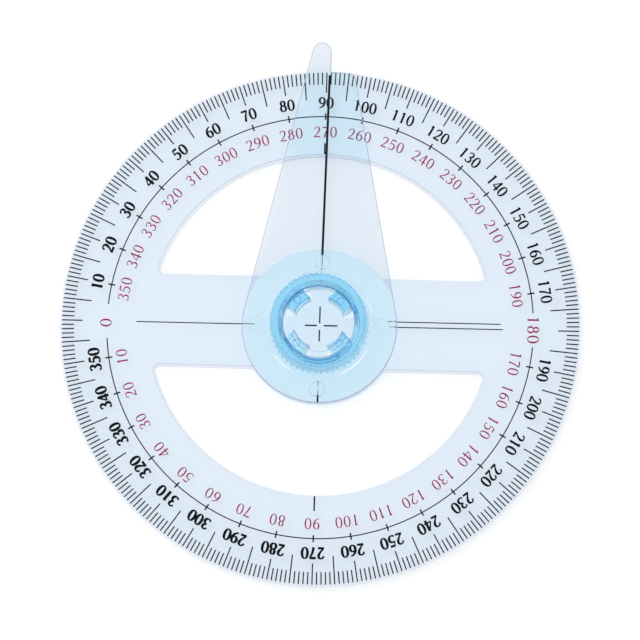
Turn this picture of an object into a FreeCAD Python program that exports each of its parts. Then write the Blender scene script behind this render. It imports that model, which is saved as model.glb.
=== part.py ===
import FreeCAD, Part
import math
import os
import Sketcher

# Full-circle protractor with a swinging arm.
# Lengths are millimetres and angles are degrees.
# The origin is the dial's centre on its underside and +Z points up through the printed face.
# The 90 mark lies along +Y, the 0 mark along -X and the 180 mark along +X.

# Driving sizes, one named value each
SIZES = {
    # dial moulding
    "dial_radius": 50.5,
    "dial_thick": 2.0,
    "edge_bevel": 0.4,
    "band_width": 17.0,
    "window_offset": 0.35,
    "window_flare": 0.3,
    "window_corner": 1.2,
    "window_turn": -0.22,
    "bar_width": 17.67,
    "bar_offset": 0.61,
    "hub_radius": 15.0,
    "hub_corner": 1.0,
    "island_radius": 5.1,
    "bridge_drop": 0.25,
    "slot_width": 1.95,
    "slot_play": 0.6,
    "slot_count": 4,
    "slot_turn": 45.0,
    "hook_room_margin": 0.95,
    "hook_room_depth": 0.95,
    "pin_mark_radius": 1.45,
    "pin_mark_margin": 0.25,
    "pin_mark_depth": 0.1,
    "pin_mark_count": 2,
    # arm moulding
    "arm_gap": 0.15,
    "arm_thick": 1.0,
    "arm_hub_radius": 15.0,
    "arm_hub_drop": 0.25,
    "arm_left_flank_angle": 12.25,
    "arm_right_flank_angle": 11.75,
    "arm_shoulder_corner": 1.5,
    "tab_length": 5.9,
    "tab_notch_corner": 0.4,
    "arm_edge_break": 0.12,
    "arm_seat_margin": 0.8,
    "arm_seat_depth": 0.15,
    "arm_mark_margin": 0.6,
    "arm_reading_angle": 90.65,
    # hub ring moulding
    "bore_margin": 0.15,
    "bore_lip": 0.33,
    "mouth_margin": 0.4,
    "neck_wall": 0.6,
    "grip_wall": 1.0,
    "grip_flare": 0.52,
    "bearing_gap": 0.08,
    "ring_gap": 0.05,
    "grip_gap": 0.1,
    "grip_height": 6.05,
    "grip_bevel": 0.15,
    "tooth_count": 50,
    "tooth_depth": 0.3,
    "tooth_crest": 0.3,
    "tooth_base": 1.0,
    "tooth_sink": 0.1,
    "leg_width": 4.1,
    "leg_rise": 4.8,
    "leg_overlap": 0.25,
    "leg_mark_radius": 0.65,
    "stem_inset": 0.45,
    "stem_gap": 0.12,
    "hook_lip": 0.4,
    "hook_gap": 0.1,
    "hook_foot": 0.2,
    "hook_nose": 0.15,
    # printing
    "ink_thick": 0.04,
    "scale_margin": 0.4,
    "degree_tick_length": 2.4,
    "ten_tick_length": 4.05,
    "five_tick_length": 5.45,
    "tick_width": 0.24,
    "tick_count": 360,
    "decade_count": 36,
    "decade_angle": 10.0,
    "circle_margin": 9.2,
    "circle_width": 0.22,
    "circle_break_angle": 4.6,
    "cross_length": 1.36,
    "cross_width": 0.29,
    "base_line_width": 0.2,
    "left_line_inset": 2.5,
    "left_line_overlap": 2.1,
    "right_line_inset": 1.5,
    "right_line_overlap": 1.9,
    "twin_line_spacing": 1.03,
    "twin_line_inset": 2.1,
    "twin_line_overlap": 1.5,
    "window_mark_overlap": 2.5,
    "window_mark_width": 0.3,
    "centre_cross_width": 0.28,
    "upper_stroke_start": 0.45,
    "upper_stroke_end": 3.7,
    "left_stroke_start": 0.55,
    "left_stroke_end": 2.85,
    "lower_stroke_start": 0.85,
    "lower_stroke_end": 3.1,
    "right_stroke_start": 0.8,
    "right_stroke_end": 3.45,
    "index_line_width": 0.45,
    "tail_line_width": 0.35,
    "tail_line_offset": 0.2,
    "index_line_margin": 0.5,
    "arm_line_inset": 0.45,
    # one overrun for every cut
    "overrun": 1.0,
}

# Radii that follow from the driving sizes, as expressions over the sheet, from the centre outwards
BLOCK_RADIUS = "(sizes.island_radius - sizes.leg_overlap)"
STEM_INNER_RADIUS = "(sizes.island_radius + sizes.stem_inset)"
SLOT_RADIUS = "(sizes.island_radius + sizes.slot_width)"
STEM_RADIUS = f"({SLOT_RADIUS} - sizes.stem_gap)"
HOOK_RADIUS = f"({SLOT_RADIUS} + sizes.hook_lip)"
HOOK_ROOM_RADIUS = f"({HOOK_RADIUS} + sizes.hook_room_margin)"
BORE_RADIUS = f"({SLOT_RADIUS} + sizes.bore_margin)"
LIP_RADIUS = f"({BORE_RADIUS} - sizes.bore_lip)"
MOUTH_RADIUS = f"({BORE_RADIUS} + sizes.mouth_margin)"
NECK_RADIUS = f"({BORE_RADIUS} + sizes.neck_wall)"
WALL_MIDDLE = f"({BORE_RADIUS} + sizes.neck_wall / 2)"
GRIP_RADIUS = f"({NECK_RADIUS} + sizes.grip_wall)"
GRIP_FOOT_RADIUS = f"({GRIP_RADIUS} + sizes.grip_flare)"
CREST_RADIUS = f"({GRIP_RADIUS} + sizes.tooth_depth)"
CREST_FOOT_RADIUS = f"({GRIP_FOOT_RADIUS} + sizes.tooth_depth)"
SEAT_RADIUS = f"({CREST_FOOT_RADIUS} + sizes.arm_seat_margin)"
DIAL_MARK_REACH = f"({SEAT_RADIUS} + sizes.pin_mark_margin + sizes.pin_mark_radius)"
ARM_MARK_REACH = f"({SEAT_RADIUS} + sizes.arm_mark_margin + sizes.pin_mark_radius)"
WINDOW_RADIUS = "(sizes.dial_radius - sizes.band_width)"
CIRCLE_RADIUS = "(sizes.dial_radius - sizes.circle_margin)"
SCALE_RADIUS = "(sizes.dial_radius - sizes.scale_margin)"
TICK_FOOT = f"({SCALE_RADIUS} - sizes.degree_tick_length)"
ARM_REACH = f"({SCALE_RADIUS} + sizes.tab_length)"

# Heights above the dial's underside
ARM_FLOOR = "(sizes.dial_thick + sizes.arm_gap)"
ARM_TOP = f"({ARM_FLOOR} + sizes.arm_thick)"
RING_FLOOR = "(sizes.dial_thick + sizes.ring_gap)"
GRIP_FLOOR = f"({ARM_TOP} + sizes.grip_gap)"
GRIP_TOP = f"({GRIP_FLOOR} + sizes.grip_height)"
LEG_TOP = "(sizes.dial_thick + sizes.leg_rise)"
HOOK_TOP = "(sizes.hook_room_depth - sizes.hook_gap)"

# Each slot leaves its leg some play to either side
SLOT_HALF_ANGLE = f"asin((sizes.leg_width / 2 + sizes.slot_play) / {STEM_INNER_RADIUS})"

Z_DIRECTION = FreeCAD.Vector(0, 0, 1)
Y_DIRECTION = FreeCAD.Vector(0, 1, 0)
# How a sketch numbers its own axes and the ends of a curve
X_AXIS_INDEX = -1
Y_AXIS_INDEX = -2
ROOT_INDEX = -1
START_INDEX = 1
END_INDEX = 2
CENTRE_INDEX = 3
FULL_TURN = 360
QUARTER_TURN = 90
SAME_PLACE = 1e-6

doc = FreeCAD.newDocument("Protractor")


def fill_sheet():
    """Write the driving sizes into a spreadsheet, each under its alias."""
    cells = doc.addObject("Spreadsheet::Sheet", "sizes")
    for row, (alias, number) in enumerate(SIZES.items(), start=1):
        cells.set(f"A{row}", alias)
        cells.set(f"B{row}", str(number))
        cells.setAlias(f"B{row}", alias)
    doc.recompute()
    return cells


sheet = fill_sheet()


def value(expression):
    """Present worth of an expression over the sheet."""
    found = sheet.evalExpression(expression)
    return float(getattr(found, "Value", found))


def new_body(label, height="0", turn="0"):
    """A sub-part whose frame is lifted, and turned about the dial's axis."""
    body = doc.addObject("PartDesign::Body", label)
    body.Label = label
    body.AllowCompound = True
    body.Placement = FreeCAD.Placement(FreeCAD.Vector(), FreeCAD.Rotation(Z_DIRECTION, value(turn)))
    body.setExpression("Placement.Base.z", height)
    body.setExpression("Placement.Rotation.Angle", turn)
    return body


def origin_feature(body, role):
    """One of the body's own origin planes or axes."""
    return next(item for item in body.Origin.OriginFeatures if item.Role == role)


def flat_sketch(body, name, height="0", turn="0"):
    """A sketch parallel to the dial's face."""
    sketch = body.newObject("Sketcher::SketchObject", name)
    sketch.AttachmentSupport = [(origin_feature(body, "XY_Plane"), "")]
    sketch.MapMode = "FlatFace"
    attach(sketch, Z_DIRECTION, turn)
    sketch.setExpression("AttachmentOffset.Base.z", height)
    return sketch


def section_sketch(body, name, turn="0"):
    """An upright sketch through the dial's axis: radius along x and height along y."""
    sketch = body.newObject("Sketcher::SketchObject", name)
    sketch.AttachmentSupport = [(origin_feature(body, "XZ_Plane"), "")]
    sketch.MapMode = "FlatFace"
    attach(sketch, Y_DIRECTION, turn)
    return sketch


def attach(sketch, axis, turn):
    """Turn an attached sketch about one of its own axes."""
    if turn == "0":
        return
    rotation = FreeCAD.Rotation(axis, value(turn))
    sketch.AttachmentOffset = FreeCAD.Placement(FreeCAD.Vector(), rotation)
    sketch.setExpression("AttachmentOffset.Rotation.Angle", turn)


def dimension(sketch, kind, places, expression):
    """A dimension between the given places that follows an expression."""
    amount = value(expression)
    if kind == "Angle":
        amount = math.radians(amount)
    number = sketch.addConstraint(Sketcher.Constraint(kind, *places, amount))
    sketch.setExpression(f"Constraints[{number}]", expression)


def offset_from_root(sketch, kind, axis, edge, end, expression):
    """Hold one coordinate of a point, measured from the sketch's origin."""
    if expression == "0":
        sketch.addConstraint(Sketcher.Constraint("PointOnObject", edge, end, axis))
    elif value(expression) > 0:
        dimension(sketch, kind, (ROOT_INDEX, START_INDEX, edge, end), expression)
    else:
        dimension(sketch, kind, (edge, end, ROOT_INDEX, START_INDEX), f"-({expression})")


def hold_point(sketch, edge, end, across, along):
    """Hold both coordinates of a point."""
    offset_from_root(sketch, "DistanceX", Y_AXIS_INDEX, edge, end, across)
    offset_from_root(sketch, "DistanceY", X_AXIS_INDEX, edge, end, along)


def add_polygon(sketch, corners):
    """A closed outline of straight lines through corners given as pairs of expressions."""
    points = [FreeCAD.Vector(value(across), value(along), 0) for across, along in corners]
    first = sketch.GeometryCount
    count = len(points)
    for index, point in enumerate(points):
        sketch.addGeometry(Part.LineSegment(point, points[(index + 1) % count]), False)
    for index, (across, along) in enumerate(corners):
        following = first + (index + 1) % count
        places = (first + index, END_INDEX, following, START_INDEX)
        sketch.addConstraint(Sketcher.Constraint("Coincident", *places))
        hold_point(sketch, first + index, START_INDEX, across, along)


def add_rectangle(sketch, left, right, low, high):
    add_polygon(sketch, [(left, low), (right, low), (right, high), (left, high)])


def add_bar(sketch, inner, outer, width, middle="0"):
    """A bar along the sketch's x axis, as wide as stated."""
    half = f"({width}) / 2"
    add_rectangle(sketch, inner, outer, f"{middle} - {half}", f"{middle} + {half}")


def add_circle(sketch, radius, across="0", along="0"):
    middle = FreeCAD.Vector(value(across), value(along), 0)
    edge = sketch.addGeometry(Part.Circle(middle, Z_DIRECTION, value(radius)), False)
    hold_point(sketch, edge, CENTRE_INDEX, across, along)
    dimension(sketch, "Radius", (edge,), radius)


def arc_between(middle, first, last):
    """Arc about a middle, counter-clockwise from the first point to the last."""
    radius = middle.distanceToPoint(first)
    angles = [math.atan2(point.y - middle.y, point.x - middle.x) for point in (first, last)]
    return Part.ArcOfCircle(Part.Circle(middle, Z_DIRECTION, radius), *angles)


def meeting_ends(curve, following):
    """Which end of a curve touches which end of the next one."""
    for end, point in ((START_INDEX, curve.StartPoint), (END_INDEX, curve.EndPoint)):
        for other_end, other in ((START_INDEX, following.StartPoint), (END_INDEX, following.EndPoint)):
            if point.distanceToPoint(other) < SAME_PLACE:
                return end, other_end
    raise ValueError("two neighbouring curves of an outline do not meet")


def add_smooth_loop(sketch, curves):
    """Add curves in order, each running smoothly into the next, and return their numbers."""
    numbers = [sketch.addGeometry(curve, False) for curve in curves]
    for index, curve in enumerate(curves):
        following = (index + 1) % len(curves)
        end, other_end = meeting_ends(curve, curves[following])
        places = (numbers[index], end, numbers[following], other_end)
        sketch.addConstraint(Sketcher.Constraint("Tangent", *places))
    return numbers


def add_feature(body, kind, name, sketch):
    feature = body.newObject("PartDesign::" + kind, name)
    feature.Profile = sketch
    return feature


def pad(body, name, sketch, length):
    """Grow a sketch upwards."""
    feature = add_feature(body, "Pad", name, sketch)
    feature.setExpression("Length", length)
    doc.recompute()
    return feature


def revolve(body, name, sketch):
    """Turn a section once round the dial's axis."""
    feature = add_feature(body, "Revolution", name, sketch)
    feature.ReferenceAxis = (sketch, ["V_Axis"])
    feature.Angle = FULL_TURN
    doc.recompute()


def require_cut(body, before, name):
    """Stop when a cut has taken nothing away."""
    if not body.Shape.Volume < before:
        raise ValueError(name + " removes no material")


def pocket(body, name, sketch, depth, upwards=False, taper="0"):
    """Cut a sketch into the body, downwards unless stated."""
    before = body.Shape.Volume
    feature = add_feature(body, "Pocket", name, sketch)
    feature.Reversed = upwards
    feature.setExpression("Length", depth)
    feature.setExpression("TaperAngle", taper)
    doc.recompute()
    require_cut(body, before, name)
    return feature


def groove(body, name, sketch, angle=str(FULL_TURN)):
    """Cut a section round the dial's axis, half of the angle to each side."""
    before = body.Shape.Volume
    feature = add_feature(body, "Groove", name, sketch)
    feature.ReferenceAxis = (sketch, ["V_Axis"])
    feature.Midplane = True
    feature.setExpression("Angle", angle)
    doc.recompute()
    require_cut(body, before, name)
    return feature


def repeat_round(body, name, feature, count):
    """Repeat a feature evenly round the dial's axis."""
    pattern = body.newObject("PartDesign::PolarPattern", name)
    pattern.Originals = [feature]
    pattern.Axis = (origin_feature(body, "Z_Axis"), [""])
    pattern.Angle = FULL_TURN
    pattern.setExpression("Occurrences", count)
    body.Tip = pattern
    doc.recompute()


def bevel_level_edges(body, name, height, distance):
    """Bevel every edge that lies level at the given height."""
    base = body.Tip
    level = value(height)
    names = []
    for index, edge in enumerate(base.Shape.Edges, start=1):
        box = edge.BoundBox
        if max(abs(box.ZMin - level), abs(box.ZMax - level)) < SAME_PLACE:
            names.append(f"Edge{index}")
    feature = body.newObject("PartDesign::Chamfer", name)
    feature.Base = (base, names)
    feature.setExpression("Size", distance)
    body.Tip = feature
    doc.recompute()


# Dial
def window_outline(sketch, side):
    """One D-shaped window: side is 1 for the one towards the 90 mark and -1 for the other."""
    outer = value(WINDOW_RADIUS)
    hub = value("sizes.hub_radius")
    corner = value("sizes.window_corner")
    inner_corner = value("sizes.hub_corner")
    shift = side * value("sizes.window_offset")
    bar = value("sizes.bar_width / 2") + side * value("sizes.bar_offset")
    corner_y = bar + corner
    corner_x = math.sqrt((outer - corner) ** 2 - (corner_y - shift) ** 2)
    inner_y = bar + inner_corner
    inner_x = math.sqrt((hub + inner_corner) ** 2 - inner_y ** 2)
    rim_share = outer / (outer - corner)
    hub_share = hub / (hub + inner_corner)

    def at(across, along):
        return FreeCAD.Vector(across, side * along, 0)

    def arc(middle, first, last):
        return arc_between(middle, first, last) if side > 0 else arc_between(middle, last, first)

    def rim_point(direction):
        return at(direction * corner_x * rim_share, shift + (corner_y - shift) * rim_share)

    def hub_point(direction):
        return at(direction * inner_x * hub_share, inner_y * hub_share)

    curves = [
        arc(at(0, shift), rim_point(1), rim_point(-1)),
        arc(at(-corner_x, corner_y), rim_point(-1), at(-corner_x, bar)),
        Part.LineSegment(at(-corner_x, bar), at(-inner_x, bar)),
        arc(at(-inner_x, inner_y), at(-inner_x, bar), hub_point(-1)),
        arc(at(0, 0), hub_point(1), hub_point(-1)),
        arc(at(inner_x, inner_y), hub_point(1), at(inner_x, bar)),
        Part.LineSegment(at(inner_x, bar), at(corner_x, bar)),
        arc(at(corner_x, corner_y), at(corner_x, bar), rim_point(1)),
    ]
    rim, left_corner, left_bar, left_inner, hub_arc, right_inner, right_bar, right_corner = (
        add_smooth_loop(sketch, curves))
    hold_point(sketch, rim, CENTRE_INDEX, "0", "sizes.window_offset")
    sketch.addConstraint(Sketcher.Constraint("Coincident", hub_arc, CENTRE_INDEX, ROOT_INDEX, START_INDEX))
    dimension(sketch, "Radius", (rim,), WINDOW_RADIUS)
    dimension(sketch, "Radius", (hub_arc,), "sizes.hub_radius")
    for edge in (left_corner, right_corner):
        dimension(sketch, "Radius", (edge,), "sizes.window_corner")
    for edge in (left_inner, right_inner):
        dimension(sketch, "Radius", (edge,), "sizes.hub_corner")
    sign = "" if side > 0 else "-"
    for edge in (left_bar, right_bar):
        sketch.addConstraint(Sketcher.Constraint("Horizontal", edge))
        edge_height = f"sizes.bar_offset + ({sign}sizes.bar_width / 2)"
        offset_from_root(sketch, "DistanceY", X_AXIS_INDEX, edge, START_INDEX, edge_height)


def make_dial():
    body = new_body("dial")

    disc = flat_sketch(body, "disc_outline")
    add_circle(disc, "sizes.dial_radius")
    pad(body, "disc", disc, "sizes.dial_thick")
    bevel_level_edges(body, "rim_bevel", "sizes.dial_thick", "sizes.edge_bevel")

    draft_angle = "-atan(sizes.window_flare / sizes.dial_thick)"
    through = "sizes.dial_thick + sizes.overrun"
    for name, side in (("upper_window", 1), ("lower_window", -1)):
        window = flat_sketch(body, name + "_outline", "sizes.dial_thick", "sizes.window_turn")
        window_outline(window, side)
        pocket(body, name, window, through, taper=draft_angle)

    slot = section_sketch(body, "slot_section", "sizes.slot_turn")
    add_rectangle(slot, "sizes.island_radius", SLOT_RADIUS, "-sizes.overrun", through)
    first_slot = groove(body, "slot", slot, f"2 * {SLOT_HALF_ANGLE}")
    repeat_round(body, "slots", first_slot, "sizes.slot_count")

    step = section_sketch(body, "bridge_section")
    step_floor = "sizes.dial_thick - sizes.bridge_drop"
    add_rectangle(step, "sizes.island_radius", SLOT_RADIUS, step_floor, through)
    groove(body, "bridge_step", step)

    hook_room = flat_sketch(body, "hook_room_outline")
    add_circle(hook_room, HOOK_ROOM_RADIUS)
    pocket(body, "hook_room", hook_room, "sizes.hook_room_depth", upwards=True)

    mark = flat_sketch(body, "pin_mark_outline", "sizes.dial_thick")
    add_circle(mark, "sizes.pin_mark_radius", across=DIAL_MARK_REACH)
    first_mark = pocket(body, "pin_mark", mark, "sizes.pin_mark_depth")
    repeat_round(body, "pin_marks", first_mark, "sizes.pin_mark_count")


# Arm
def arm_outline(sketch):
    """Round hub, two flanks tangent to it, a shoulder along the scale and a finger tab."""
    hub = value("sizes.arm_hub_radius")
    drop = value("sizes.arm_hub_drop")
    shoulder = value(SCALE_RADIUS)
    corner = value("sizes.arm_shoulder_corner")
    notch = value("sizes.tab_notch_corner")
    tab_edge = value("sizes.index_line_width / 2")
    left_flank_angle = math.radians(value("sizes.arm_left_flank_angle"))
    right_flank_angle = math.radians(value("sizes.arm_right_flank_angle"))
    tip_radius = ("(sizes.arm_hub_radius + sizes.index_line_width / 2 * cos(sizes.arm_left_flank_angle)"
                  f" - ({ARM_REACH} + sizes.arm_hub_drop) * sin(sizes.arm_left_flank_angle))"
                  " / (1 + cos(sizes.arm_left_flank_angle) - sin(sizes.arm_left_flank_angle))")
    tip = value(tip_radius)

    def at(across, along):
        return FreeCAD.Vector(across, along, 0)

    middle = at(0, 0)
    hub_middle = at(0, -drop)
    left_outward = at(-math.cos(left_flank_angle), math.sin(left_flank_angle))
    right_outward = at(math.cos(right_flank_angle), math.sin(right_flank_angle))
    right_upward = at(-math.sin(right_flank_angle), math.cos(right_flank_angle))
    hub_left = hub_middle + left_outward * hub
    hub_right = hub_middle + right_outward * hub
    tip_middle = at(tab_edge - tip, value(ARM_REACH) - tip)
    tip_left = tip_middle + left_outward * tip
    tip_right = tip_middle + at(tip, 0)
    notch_across = tab_edge + notch
    notch_middle = at(notch_across, math.sqrt((shoulder + notch) ** 2 - notch_across ** 2))
    notch_left = notch_middle - at(notch, 0)
    notch_right = notch_middle * (shoulder / (shoulder + notch))
    corner_start = hub_middle + right_outward * (hub - corner)
    start_along = corner_start.dot(right_upward)
    corner_along = math.sqrt((shoulder - corner) ** 2 - corner_start.Length ** 2 + start_along ** 2)
    corner_middle = corner_start + right_upward * (corner_along - start_along)
    corner_left = corner_middle * (shoulder / (shoulder - corner))
    corner_right = corner_middle + right_outward * corner

    curves = [
        arc_between(hub_middle, hub_left, hub_right),
        Part.LineSegment(hub_right, corner_right),
        arc_between(corner_middle, corner_right, corner_left),
        arc_between(middle, corner_left, notch_right),
        arc_between(notch_middle, notch_left, notch_right),
        Part.LineSegment(notch_left, tip_right),
        arc_between(tip_middle, tip_right, tip_left),
        Part.LineSegment(hub_left, tip_left),
    ]
    hub_arc, right_flank, corner_arc, shoulder_arc, notch_arc, tab_line, tip_arc, left_flank = (
        add_smooth_loop(sketch, curves))
    hold_point(sketch, hub_arc, CENTRE_INDEX, "0", "-sizes.arm_hub_drop")
    hold_point(sketch, shoulder_arc, CENTRE_INDEX, "0", "0")
    dimension(sketch, "Radius", (hub_arc,), "sizes.arm_hub_radius")
    dimension(sketch, "Radius", (shoulder_arc,), SCALE_RADIUS)
    dimension(sketch, "Radius", (corner_arc,), "sizes.arm_shoulder_corner")
    dimension(sketch, "Radius", (notch_arc,), "sizes.tab_notch_corner")
    dimension(sketch, "Angle", (left_flank,), f"{QUARTER_TURN} - sizes.arm_left_flank_angle")
    dimension(sketch, "Angle", (right_flank,), f"{QUARTER_TURN} + sizes.arm_right_flank_angle")
    sketch.addConstraint(Sketcher.Constraint("Vertical", tab_line))
    offset_from_root(sketch, "DistanceX", Y_AXIS_INDEX, tab_line, START_INDEX, "sizes.index_line_width / 2")
    offset_from_root(sketch, "DistanceY", X_AXIS_INDEX, tip_arc, CENTRE_INDEX, f"{ARM_REACH} - {tip_radius}")


ARM_TURN = f"{QUARTER_TURN} - sizes.arm_reading_angle"


def make_arm():
    body = new_body("arm", ARM_FLOOR, ARM_TURN)

    outline = flat_sketch(body, "arm_outline")
    arm_outline(outline)
    pad(body, "arm_plate", outline, "sizes.arm_thick")
    bevel_level_edges(body, "arm_edge", "sizes.arm_thick", "sizes.arm_edge_break")

    seat = flat_sketch(body, "ring_seat_outline", "sizes.arm_thick")
    add_circle(seat, SEAT_RADIUS)
    pocket(body, "ring_seat", seat, "sizes.arm_seat_depth")

    hole = flat_sketch(body, "bearing_hole_outline", "sizes.arm_thick")
    add_circle(hole, f"{NECK_RADIUS} + sizes.bearing_gap")
    pocket(body, "bearing_hole", hole, "sizes.arm_thick + sizes.overrun")

    for name, along in (("upper_mark", ARM_MARK_REACH), ("lower_mark", "-" + ARM_MARK_REACH)):
        mark = flat_sketch(body, name + "_outline")
        add_circle(mark, "sizes.pin_mark_radius", along=along)
        pocket(body, name, mark, "sizes.pin_mark_depth", upwards=True)


# Hub ring
def make_lock_ring():
    body = new_body("lock_ring")

    leg = flat_sketch(body, "leg_outline", "sizes.hook_foot", "sizes.slot_turn")
    add_bar(leg, "0", HOOK_ROOM_RADIUS, "sizes.leg_width")
    first_leg = pad(body, "leg", leg, f"{LEG_TOP} - sizes.hook_foot")
    repeat_round(body, "legs", first_leg, "sizes.slot_count")

    above = f"{LEG_TOP} + sizes.overrun"
    below = "sizes.hook_foot - sizes.overrun"
    inside = section_sketch(body, "leg_inner_section")
    add_polygon(inside, [
        ("0", below),
        (STEM_INNER_RADIUS, below),
        (STEM_INNER_RADIUS, RING_FLOOR),
        (BLOCK_RADIUS, RING_FLOOR),
        (BLOCK_RADIUS, above),
        ("0", above),
    ])
    groove(body, "leg_inner_faces", inside)

    clear = f"{HOOK_ROOM_RADIUS} + sizes.overrun"
    outside = section_sketch(body, "leg_outer_section")
    add_polygon(outside, [
        (f"{HOOK_RADIUS} - sizes.hook_nose - sizes.overrun", below),
        (clear, below),
        (clear, above),
        (WALL_MIDDLE, above),
        (WALL_MIDDLE, RING_FLOOR),
        (STEM_RADIUS, RING_FLOOR),
        (STEM_RADIUS, HOOK_TOP),
        (HOOK_RADIUS, HOOK_TOP),
        (HOOK_RADIUS, "sizes.hook_foot + sizes.hook_nose"),
    ])
    groove(body, "leg_outer_faces", outside)

    ring = section_sketch(body, "ring_section")
    add_polygon(ring, [
        (BORE_RADIUS, RING_FLOOR),
        (NECK_RADIUS, RING_FLOOR),
        (NECK_RADIUS, GRIP_FLOOR),
        (GRIP_FOOT_RADIUS, GRIP_FLOOR),
        (GRIP_RADIUS, GRIP_TOP),
        (MOUTH_RADIUS, GRIP_TOP),
        (LIP_RADIUS, LEG_TOP),
        (BORE_RADIUS, f"{LEG_TOP} - sizes.bore_lip"),
    ])
    revolve(body, "ring", ring)

    tooth = flat_sketch(body, "tooth_outline", GRIP_FLOOR)
    root = f"{GRIP_RADIUS} - sizes.tooth_sink"
    crest = f"{CREST_FOOT_RADIUS} + sizes.tooth_sink"
    add_polygon(tooth, [
        (root, "-sizes.tooth_base / 2"),
        (crest, "-sizes.tooth_crest / 2"),
        (crest, "sizes.tooth_crest / 2"),
        (root, "sizes.tooth_base / 2"),
    ])
    first_tooth = pad(body, "tooth", tooth, "sizes.grip_height")
    repeat_round(body, "teeth", first_tooth, "sizes.tooth_count")

    # The crests slope with the grip and end in a small bevel
    clear = f"{CREST_FOOT_RADIUS} + sizes.overrun"
    slope = section_sketch(body, "crest_section")
    add_polygon(slope, [
        (f"{CREST_RADIUS} - sizes.grip_bevel", GRIP_TOP),
        (CREST_RADIUS, f"{GRIP_TOP} - sizes.grip_bevel"),
        (CREST_FOOT_RADIUS, GRIP_FLOOR),
        (CREST_FOOT_RADIUS, f"{GRIP_FLOOR} - sizes.overrun"),
        (clear, f"{GRIP_FLOOR} - sizes.overrun"),
        (clear, GRIP_TOP),
    ])
    groove(body, "crest_slope", slope)

    mark = flat_sketch(body, "leg_mark_outline", LEG_TOP, "sizes.slot_turn")
    add_circle(mark, "sizes.leg_mark_radius", across=f"({BLOCK_RADIUS} + {LIP_RADIUS}) / 2")
    first_mark = pocket(body, "leg_mark", mark, "sizes.pin_mark_depth")
    repeat_round(body, "leg_marks", first_mark, "sizes.slot_count")


# Printing
def printed_bars(label, inner, outer, width, count, turn="0"):
    """Equal printed bars that point at the dial's centre."""
    body = new_body(label, "sizes.dial_thick")
    bar = flat_sketch(body, label + "_outline", turn=turn)
    add_bar(bar, inner, outer, width)
    first = pad(body, label + "_first", bar, "sizes.ink_thick")
    repeat_round(body, label + "_row", first, count)


def make_ticks():
    """Every degree has a tick; the tens and the fives between them run further in."""
    width = "sizes.tick_width"
    ten_inner = f"{SCALE_RADIUS} - sizes.ten_tick_length"
    five_inner = f"{SCALE_RADIUS} - sizes.five_tick_length"
    five_turn = "sizes.decade_angle / 2"
    printed_bars("degree_ticks", TICK_FOOT, SCALE_RADIUS, width, "sizes.tick_count")
    printed_bars("ten_degree_ticks", ten_inner, TICK_FOOT, width, "sizes.decade_count")
    printed_bars("five_degree_ticks", five_inner, TICK_FOOT, width, "sizes.decade_count", five_turn)


def make_numeral_circle():
    """The circle between the two rows of numerals, crossed every ten degrees."""
    body = new_body("numeral_circle", "sizes.dial_thick")
    ring = flat_sketch(body, "circle_outline")
    add_circle(ring, f"{CIRCLE_RADIUS} + sizes.circle_width / 2")
    add_circle(ring, f"{CIRCLE_RADIUS} - sizes.circle_width / 2")
    pad(body, "circle", ring, "sizes.ink_thick")

    cross = flat_sketch(body, "cross_outline")
    half = "sizes.cross_length / 2"
    add_bar(cross, f"{CIRCLE_RADIUS} - {half}", f"{CIRCLE_RADIUS} + {half}", "sizes.cross_width")
    first = pad(body, "cross", cross, "sizes.ink_thick")
    repeat_round(body, "crosses", first, "sizes.decade_count")

    gap = flat_sketch(body, "circle_break_outline", "sizes.ink_thick")
    reach = f"{CIRCLE_RADIUS} + sizes.cross_length"
    width = f"2 * {CIRCLE_RADIUS} * sin(sizes.circle_break_angle)"
    add_bar(gap, f"-({reach})", reach, width)
    pocket(body, "circle_breaks", gap, "sizes.ink_thick + sizes.overrun")


def make_base_lines():
    """The 0 to 180 line, and the twin line above its right half."""
    body = new_body("base_lines", "sizes.dial_thick")
    lines = flat_sketch(body, "base_lines_outline")
    width = "sizes.base_line_width"
    for name, side, middle in (("left_line", "-", "0"), ("right_line", "", "0"),
                               ("twin_line", "", "sizes.twin_line_spacing")):
        hub_end = f"{side}(sizes.hub_radius - sizes.{name}_inset)"
        rim_end = f"{side}({WINDOW_RADIUS} + sizes.{name}_overlap)"
        add_bar(lines, hub_end, rim_end, width, middle)
    pad(body, "base_lines_ink", lines, "sizes.ink_thick")


def make_window_marks():
    """Bold marks on the 90 and 270 lines, from each window's edge outwards."""
    body = new_body("window_marks", "sizes.dial_thick")
    marks = flat_sketch(body, "window_marks_outline", turn=str(QUARTER_TURN))
    width = "sizes.window_mark_width"
    outer = f"({WINDOW_RADIUS} + sizes.window_mark_overlap)"
    add_bar(marks, f"sizes.window_offset + {WINDOW_RADIUS}", outer, width)
    add_bar(marks, f"-{outer}", f"sizes.window_offset - {WINDOW_RADIUS}", width)
    pad(body, "window_marks_ink", marks, "sizes.ink_thick")


def make_centre_cross():
    """Four strokes that point at the dial's centre and stop short of it."""
    body = new_body("centre_cross", "sizes.dial_thick")
    width = "sizes.centre_cross_width"
    for name, turn, side in (("right", "0", ""), ("upper", str(QUARTER_TURN), ""),
                             ("left", "0", "-"), ("lower", str(QUARTER_TURN), "-")):
        stroke = flat_sketch(body, name + "_stroke_outline", turn=turn)
        add_bar(stroke, f"{side}sizes.{name}_stroke_start", f"{side}sizes.{name}_stroke_end", width)
        pad(body, name + "_stroke", stroke, "sizes.ink_thick")


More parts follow.
